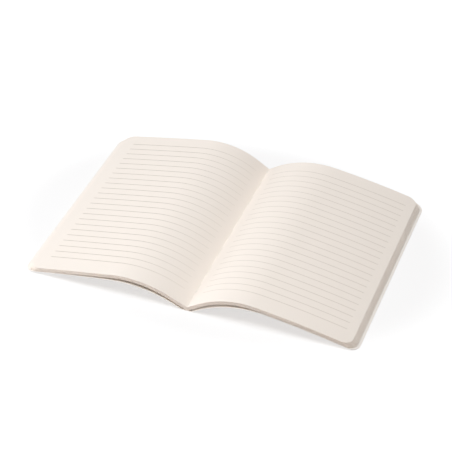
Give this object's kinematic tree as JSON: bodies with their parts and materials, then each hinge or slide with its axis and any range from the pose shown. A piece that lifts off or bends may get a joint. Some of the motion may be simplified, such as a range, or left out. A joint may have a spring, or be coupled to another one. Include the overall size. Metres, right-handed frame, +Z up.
{
  "type": "open notepad",
  "caption": "Thin soft-cover ruled notepad with rounded corners, lying open and face up at the middle of its folded section.",
  "frame": {"origin": "on the table, under the middle of the fold, on the underside of the cover's spine strip", "axes": "+X across the spread to the right page's fore-edge, +Y along the fold to the head, +Z up from the table"},
  "size_m": [0.2888, 0.21, 0.0212],
  "materials": {
    "paper": "uncoated cream writing paper",
    "card": "pale uncoated cover card",
    "thread": "cream sewing thread"
  },
  "bodies": {
    "pages": {"page_block": "paper", "cover_spine": "card", "binding_thread": "thread"},
    "front_board": {"front_cover": "card"},
    "back_board": {"back_cover": "card"}
  },
  "joints": [
    {"name": "front_cover_hinge", "type": "hinge", "parent": "pages", "child": "front_board", "pos_m": [-0.0041, 0, 0.00025], "axis": [0, -1, 0], "range_deg": [0, 90]},
    {"name": "back_cover_hinge", "type": "hinge", "parent": "pages", "child": "back_board", "pos_m": [0.0041, 0, 0.00025], "axis": [0, 1, 0], "range_deg": [0, 90]}
  ]
}
